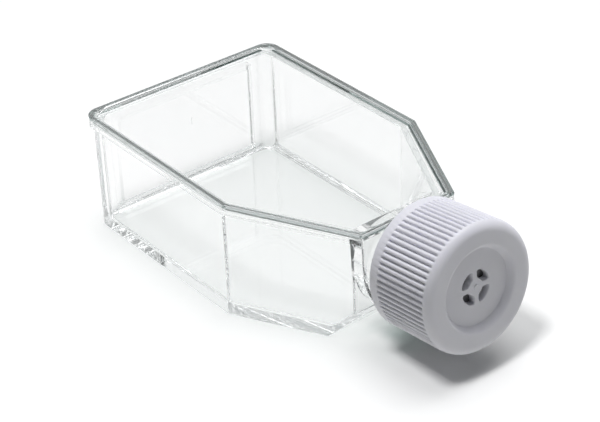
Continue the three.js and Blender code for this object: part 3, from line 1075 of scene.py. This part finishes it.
# ---------------------------------------------------------------- sky
# The room is white to the camera. The plastic's gloss and the rays through it see a studio instead: grey
# low down, then a pale band, a dark band and a bright ceiling, all dimmer on one side. Matt surfaces see
# almost none of it.

sweep_stops = (
    (0.30, (0.53, 0.57, 0.575, 1)),
    (0.47, (0.931, 0.95, 0.95, 1)),
    (0.57, (0.931, 0.95, 0.95, 1)),
    (0.65, (0.245, 0.25, 0.25, 1)),
    (0.72, (0.245, 0.25, 0.25, 1)),
    (0.80, (2.7, 2.73, 2.76, 1)),
)
bright_side = (-0.797, 0.604, 0.25)
side_start = -0.35
side_full = 0.15
dark_side_share = 0.35
sky_black = (0.0, 0.0, 0.0, 1)
sky_white = (1, 1, 1, 1)
sky_for_matt = (0.020, 0.025, 0.026, 1)

scene = bpy.context.scene
sky = bpy.data.worlds.new("studio")
scene.world = sky
sky.use_nodes = True
nodes, links = sky.node_tree.nodes, sky.node_tree.links
place = nodes.new("ShaderNodeTexCoord")
parts = nodes.new("ShaderNodeSeparateXYZ")
links.new(place.outputs["Generated"], parts.inputs[0])
sweep = colour_ramp(nodes, links, parts.outputs["Z"], sweep_stops)
toward = nodes.new("ShaderNodeVectorMath")
toward.operation = "DOT_PRODUCT"
toward.inputs[1].default_value = bright_side
links.new(place.outputs["Generated"], toward.inputs[0])
side = smooth_step(
    nodes, links, toward.outputs["Value"], side_start, side_full, before=dark_side_share)
studio = mix_colours(nodes, links, side, sky_black, sweep)
path = nodes.new("ShaderNodeLightPath")
for_camera = mix_colours(nodes, links, path.outputs["Is Camera Ray"], studio, sky_white)
for_matt = mix_colours(nodes, links, path.outputs["Is Diffuse Ray"], for_camera, sky_for_matt)
links.new(for_matt, nodes["Background"].inputs["Color"])

# ---------------------------------------------------------------- lamps
# Two square lamps light the table alone: a small one for the flask's shadow and a wide one that fills it.
# A third, high up and behind, lights the flask alone.

centre = (Vector(cad_low) + Vector(cad_high)) / 2
lamp_distance = 1.6


def area_lamp(name, azimuth, elevation, size, power, colour=(1, 1, 1)):
    """Square lamp that faces the flask, seen from it at that azimuth (0 is -Y, 90 is +X) and elevation."""
    a, e = math.radians(azimuth), math.radians(elevation)
    away = Vector((math.sin(a) * math.cos(e), -math.cos(a) * math.cos(e), math.sin(e)))
    lamp = bpy.data.objects.new(name, bpy.data.lights.new(name, "AREA"))
    lamp.data.size = size
    lamp.data.energy = power
    lamp.data.color = colour
    lamp.location = centre + away * lamp_distance
    lamp.rotation_euler = away.to_track_quat("Z", "Y").to_euler()
    scene.collection.objects.link(lamp)
    return lamp


def receivers(name, state):
    """Collection that gives a lamp the table alone to light, or everything but the table."""
    group = bpy.data.collections.new(name)
    group.objects.link(table)
    group.collection_objects[0].light_linking.link_state = state
    return group


table_only = receivers("table_only", "INCLUDE")
all_but_table = receivers("all_but_table", "EXCLUDE")
table_key = area_lamp("table_key", azimuth=17.0, elevation=66.5, size=0.30, power=13.2)
table_fill = area_lamp("table_fill", azimuth=-165.0, elevation=80.0, size=1.2, power=13.2)
key = area_lamp("key", azimuth=-146.0, elevation=76.0, size=0.5, power=23.0, colour=(0.98, 0.98, 1.0))
table_key.light_linking.receiver_collection = table_only
table_fill.light_linking.receiver_collection = table_only
key.light_linking.receiver_collection = all_but_table

# ---------------------------------------------------------------- camera
# A long lens looks down on the cap's side of the flask, from the front on the right, turned a little
# round its own axis. Its aim is measured from the cap's mouth.

view_azimuth = math.radians(52.856)
view_elevation = math.radians(31.947)
view_roll = math.radians(-2.52)
view_distance_mm = 367.07
aim_offset = Vector((-31.93, -3.49, -2.36)) * mm
sensor_width = 36.0
lens_length = 112.52
nearest_seen = 0.01

aim = Vector(mouth) + aim_offset
back = Vector((
    math.sin(view_azimuth) * math.cos(view_elevation),
    -math.cos(view_azimuth) * math.cos(view_elevation),
    math.sin(view_elevation),
))
right = (-back).cross(Vector((0, 0, 1))).normalized()
up = back.cross(right)
level = Matrix((right, up, back)).transposed()
camera = bpy.data.objects.new("camera", bpy.data.cameras.new("camera"))
camera.data.sensor_width = sensor_width
camera.data.lens = lens_length
camera.data.clip_start = nearest_seen
camera.matrix_world = (
    Matrix.Translation(aim + back * view_distance_mm * mm)
    @ level.to_4x4()
    @ Matrix.Rotation(view_roll, 4, "Z")
)
scene.collection.objects.link(camera)
scene.camera = camera

# Light crosses many faces of clear plastic, so it may bend and reflect many times.
plastic_bounces = 96
open_way_bounces = 32

scene.view_settings.view_transform = "Standard"
scene.cycles.max_bounces = plastic_bounces
scene.cycles.glossy_bounces = plastic_bounces
scene.cycles.transmission_bounces = plastic_bounces
scene.cycles.transparent_max_bounces = open_way_bounces
